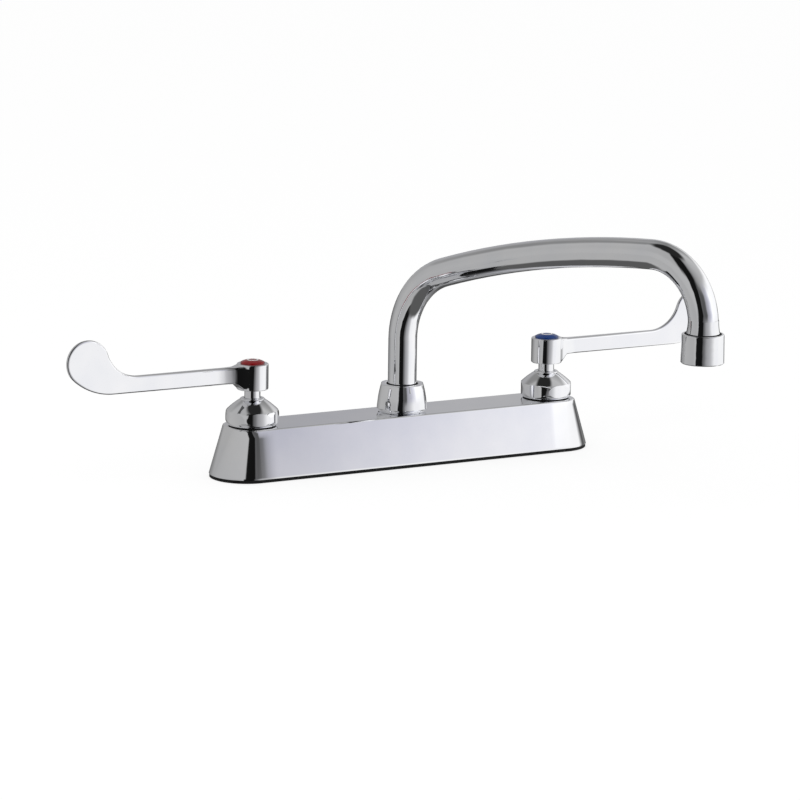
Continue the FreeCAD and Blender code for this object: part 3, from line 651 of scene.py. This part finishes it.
def makeInletThreads(s):
    tree = threadTree(s, finishes["bare_brass"])
    for mount in frame["record"]["mounts"]:
        if mount["kind"] != "threaded_hole":
            continue
        length = mount["dims"]["length_mm"] - 2 * s["start"]
        middle = Vector(mount["pos_m"])
        values = {"Turns": length / s["pitch"], "Radius": mount["dims"]["r_mm"] * mm,
                  "Height": length * mm, "Ridge": s["depth"] * mm}
        name = mount["name"].replace("_inlet", "InletThread")
        mesh = growPiece(name, tree, values, middle - Vector((0, 0, length / 2 * mm)))
        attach(linkPiece(name, mesh), "body")


# Outlet screen: woven wire across the mouth of the flow straightener, sizes in mm
outletScreen = {"radius": 5.9, "spacing": 0.62, "wire": 0.11, "drop": 0.14, "sides": 4}


def screenTree(s, material):
    tree, inputs, out = geometryTree("wovenScreen", [
        ("Width", 0.012), ("Wires", 20), ("Radius", 0.0059), ("Wire", 0.0001)])
    cloth = addNode(tree, "GeometryNodeMeshGrid", links={
        "Size X": inputs.outputs["Width"], "Size Y": inputs.outputs["Width"],
        "Vertices X": inputs.outputs["Wires"], "Vertices Y": inputs.outputs["Wires"]})
    place = addNode(tree, "GeometryNodeInputPosition")
    reach = addNode(tree, "ShaderNodeVectorMath", {"operation": "LENGTH"}, {0: place.outputs[0]})
    outside = addNode(tree, "FunctionNodeCompare", {"operation": "GREATER_THAN"},
                      {0: reach.outputs["Value"], 1: inputs.outputs["Radius"]})
    disc = addNode(tree, "GeometryNodeDeleteGeometry", links={0: cloth.outputs[0], 1: outside.outputs[0]})
    lines = addNode(tree, "GeometryNodeMeshToCurve", links={0: disc.outputs[0]})
    section = addNode(tree, "GeometryNodeCurvePrimitiveCircle", {"Resolution": s["sides"]},
                      {"Radius": inputs.outputs["Wire"]})
    wires = addNode(tree, "GeometryNodeCurveToMesh", links={0: lines.outputs[0], 1: section.outputs[0]})
    finishTree(tree, out, wires.outputs[0], material)
    return tree


def makeOutletScreen(s):
    low, high = nodeBounds("aerator_insert")
    count = int(2 * s["radius"] / s["spacing"]) + 2
    values = {"Width": (count - 1) * s["spacing"] * mm, "Wires": count,
              "Radius": s["radius"] * mm, "Wire": s["wire"] * mm}
    place = Vector(((low.x + high.x) / 2, (low.y + high.y) / 2, low.z - s["drop"] * mm))
    mesh = growPiece("outletScreen", screenTree(s, finishes["stainless_steel"]), values, place)
    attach(linkPiece("outletScreen", mesh), "spout")


def ringMesh(name, rows):
    # rows of points that join round both ways
    form = bmesh.new()
    loops = [[form.verts.new(point) for point in row] for row in rows]
    for k, loop in enumerate(loops):
        after = loops[(k + 1) % len(loops)]
        for i in range(len(loop)):
            j = (i + 1) % len(loop)
            form.faces.new((loop[i], after[i], after[j], loop[j]))
    bmesh.ops.recalc_face_normals(form, faces=form.faces)
    mesh = bpy.data.meshes.new(name)
    form.to_mesh(mesh)
    form.free()
    mesh.shade_smooth()
    return mesh


# Index ring: a pale printed ring round the crown of each button, sizes in mm
indexRing = {
    "inner": 2.5, "outer": 3.5,
    "rows": 4, "segments": 72,
    "proud": 0.03, "bury": 0.08,
    "above": 10,                 # height over the button from which its dome is measured
    "sharp": 40,                 # degrees
    # pad-printed ink: off-white, satin
    "ink": {"name": "palePadPrint", "colours": ("#CFCBCB", "#DCD9D8"), "roughness": 0.35, **moulded},
}
printedInk = makeFinish(indexRing["ink"])


def makeIndexRing(s, node, name, body):
    low, high = nodeBounds(node)
    centre = (low + high) / 2
    dome = bmesh.new()
    dome.from_mesh(frame["nodes"][node].data)
    surface = BVHTree.FromBMesh(dome)
    dome.free()
    radii = [s["inner"] + (s["outer"] - s["inner"]) * k / (s["rows"] - 1) for k in range(s["rows"])]
    profile = [(radii[0], -s["bury"])] + [(r, s["proud"]) for r in radii] + [(radii[-1], -s["bury"])]
    rows = []
    for radius, lift in profile:
        row = []
        for k in range(s["segments"]):
            angle = 2 * math.pi * k / s["segments"]
            x = centre.x + radius * mm * math.cos(angle)
            y = centre.y + radius * mm * math.sin(angle)
            hit = surface.ray_cast(Vector((x, y, high.z + s["above"] * mm)), Vector((0, 0, -1)))[0]
            row.append((x, y, hit.z + lift * mm))
        rows.append(row)
    mesh = ringMesh(name, rows)
    mesh.set_sharp_from_angle(angle=math.radians(s["sharp"]))
    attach(linkPiece(name, mesh, printedInk), body)


# Painted shade: a black ring in each countersink stands in for the shadow of the gap where the tube leaves
# the nut and enters the housing, sizes in mm, with the ring's middle sunk below the top of the piece round it
shadowGapRings = {
    "spout_nut": {"name": "riserShadowGapRing", "body": "body", "radius": 9.22, "section": 0.40, "sink": 0.12},
    "aerator_shell": {"name": "outletShadowGapRing", "body": "spout", "radius": 10.35, "section": 0.38, "sink": 0.12},
}
shadowGapSteps = {"around": 96, "section": 14}


def makeShadowGapRing(node, s):
    low, high = nodeBounds(node)
    centre = Vector(((low.x + high.x) / 2, (low.y + high.y) / 2, high.z - s["sink"] * mm))
    rows = []
    for i in range(shadowGapSteps["around"]):
        turn = 2 * math.pi * i / shadowGapSteps["around"]
        row = []
        for k in range(shadowGapSteps["section"]):
            lean = 2 * math.pi * k / shadowGapSteps["section"]
            radius = (s["radius"] + s["section"] * math.cos(lean)) * mm
            height = s["section"] * mm * math.sin(lean)
            row.append(centre + Vector((radius * math.cos(turn), radius * math.sin(turn), height)))
        rows.append(row)
    mesh = ringMesh(s["name"], rows)
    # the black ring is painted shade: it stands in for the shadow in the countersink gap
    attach(linkPiece(s["name"], mesh, finishes["black_rubber"]), s["body"])


makeCamera(cameraView)
makeWorld(surroundings)
makeTent(tent)
makeFloor(floorLook)
makeLamp(softbox)
print("studio and camera done")
dressNodes()
print("finishes done")
for node, (name, body, angle) in polished.items():
    polishNode(node, name, body, angle)
print("polished pieces done")
makeInletThreads(inletThread)
makeOutletScreen(outletScreen)
makeIndexRing(indexRing, "hot_index_button", "hotIndexRing", "hot_handle")
makeIndexRing(indexRing, "cold_index_button", "coldIndexRing", "cold_handle")
for node, ring in shadowGapRings.items():
    makeShadowGapRing(node, ring)
print("threads, screen and rings done")

bpy.context.view_layer.update()
